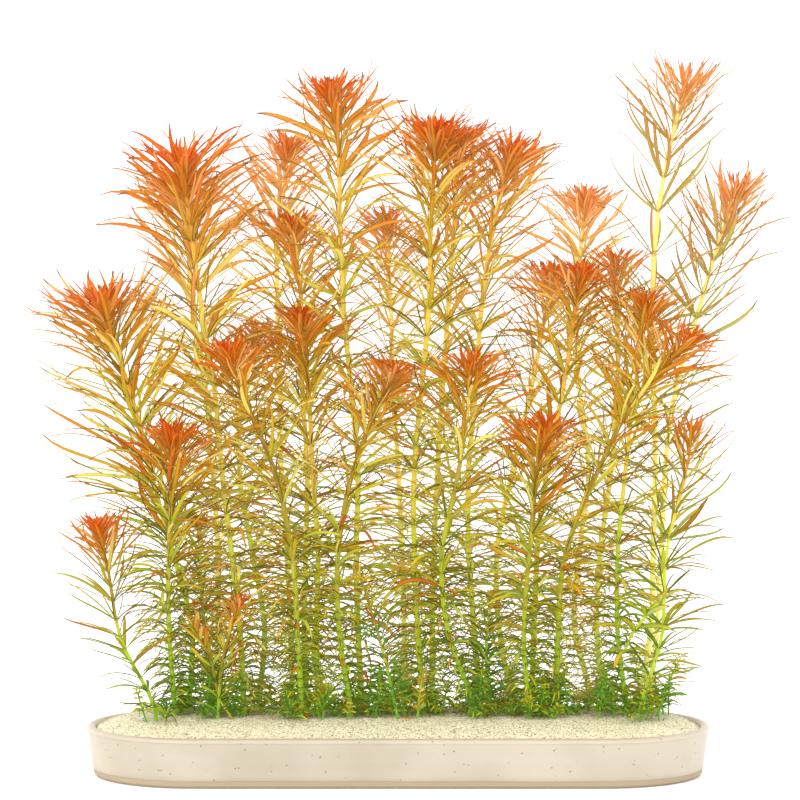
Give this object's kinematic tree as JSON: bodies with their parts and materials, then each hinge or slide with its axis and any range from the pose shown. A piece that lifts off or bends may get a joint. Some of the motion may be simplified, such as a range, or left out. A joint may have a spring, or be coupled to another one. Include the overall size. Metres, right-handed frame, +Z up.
{
  "type": "potted pantanal ludwigia inclinata",
  "caption": "Dense stand of tall aquarium stem plants with narrow whorled leaves, orange at the crowns and green at the foot, planted in pale sand in a low oblong pot.",
  "frame": {"origin": "centre of the pot's flat underside", "axes": "+X along the pot to the right as in the picture, +Y away from the viewer, +Z up"},
  "size_m": [0.42, 0.1342, 0.403],
  "materials": {
    "pot": "matt cream stoneware, plain",
    "sand": "fine pale yellow sand with dark specks, matt",
    "stem": "smooth juicy stem, pale yellow above, yellow green to dark green at the foot",
    "leaf": "thin translucent leaf, red orange in the crown, ochre and olive below, green at the foot"
  },
  "bodies": {
    "root": {"pot": "pot", "sand": "sand", "stem_01": "stem", "stem_02": "stem", "stem_03": "stem", "stem_04": "stem", "stem_05": "stem", "stem_06": "stem", "stem_07": "stem", "stem_08": "stem", "stem_09": "stem", "stem_10": "stem", "stem_11": "stem", "stem_12": "stem", "stem_13": "stem", "stem_14": "stem", "stem_15": "stem", "stem_16": "stem", "stem_17": "stem", "stem_18": "stem", "stem_19": "stem", "stem_20": "stem", "stem_21": "stem", "stem_22": "stem", "stem_23": "stem", "stem_24": "stem", "stem_25": "stem", "stem_26": "stem", "stem_27": "stem", "leaves_01": "leaf", "leaves_02": "leaf", "leaves_03": "leaf", "leaves_04": "leaf", "leaves_05": "leaf", "leaves_06": "leaf", "leaves_07": "leaf", "leaves_08": "leaf", "leaves_09": "leaf", "leaves_10": "leaf", "leaves_11": "leaf", "leaves_12": "leaf", "leaves_13": "leaf", "leaves_14": "leaf", "leaves_15": "leaf", "leaves_16": "leaf", "leaves_17": "leaf", "leaves_18": "leaf", "leaves_19": "leaf", "leaves_20": "leaf", "leaves_21": "leaf", "leaves_22": "leaf", "leaves_23": "leaf", "leaves_24": "leaf", "leaves_25": "leaf", "leaves_26": "leaf", "leaves_27": "leaf", "young_shoot_1": "leaf", "young_shoot_2": "leaf", "young_shoot_3": "leaf", "young_shoot_4": "leaf"}
  },
  "joints": []
}
